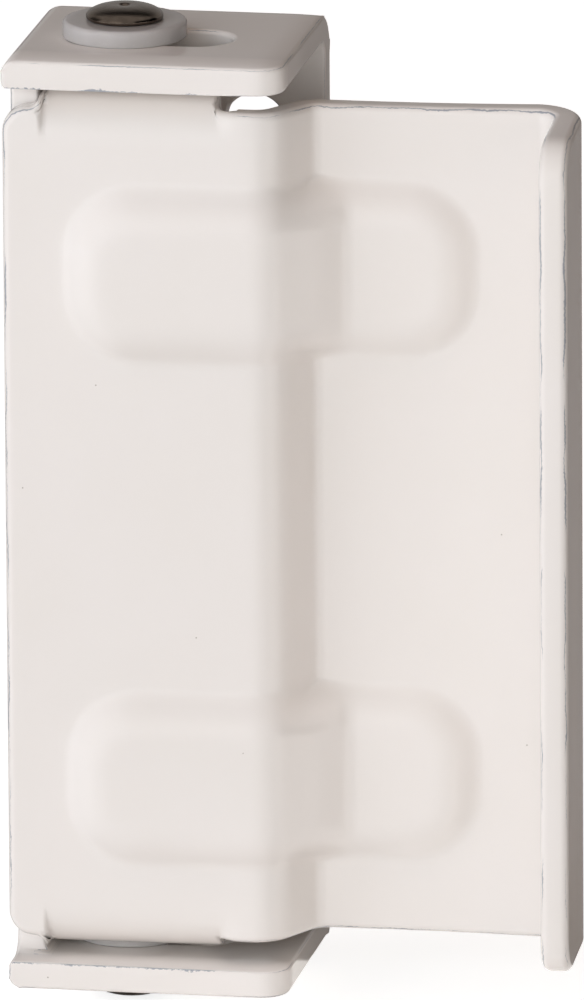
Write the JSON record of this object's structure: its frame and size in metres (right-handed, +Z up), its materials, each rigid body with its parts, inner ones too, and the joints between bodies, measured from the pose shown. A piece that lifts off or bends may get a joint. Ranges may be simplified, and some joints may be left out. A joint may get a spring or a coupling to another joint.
{
  "type": "window lock",
  "caption": "Surface-mounted window lock: a pressed steel bracket whose stepped, beaded flap slides sideways on riveted pivots and swings over the sash.",
  "frame": {"origin": "middle of the bracket's rear face, the face that lies on the window frame", "axes": "+Y out of the back into the window frame, so the flap faces -Y; +Z up along the pivot line; +X towards the flap's flange"},
  "size_m": [0.0604, 0.0338, 0.1066],
  "materials": {
    "white_powder_coat": "satin white powder coat on pressed steel, worn to grey along the sheet edges",
    "nylon": "natural translucent nylon, lightly rubbed",
    "rivet_steel": "dark brownish nickel-plated steel, semi-gloss",
    "washer_steel": "zinc-plated steel"
  },
  "bodies": {
    "frame": {"frame_bracket": "white_powder_coat"},
    "pivots": {"top_rivet": "rivet_steel", "top_bush": "nylon", "top_inner_washer": "nylon", "top_backing_washer": "washer_steel", "bottom_rivet": "rivet_steel", "bottom_bush": "nylon", "bottom_inner_washer": "nylon", "bottom_backing_washer": "washer_steel"},
    "flap": {"lock_flap": "white_powder_coat"}
  },
  "joints": [
    {"name": "flap_slide", "type": "slide", "parent": "frame", "child": "pivots", "axis": [1, 0, 0], "range_m": [0, 0.00765]},
    {"name": "flap_swing", "type": "hinge", "parent": "pivots", "child": "flap", "pos_m": [-0.004, -0.0168, 0], "axis": [0, 0, 1], "range_deg": [-2.3, 37.7]}
  ]
}
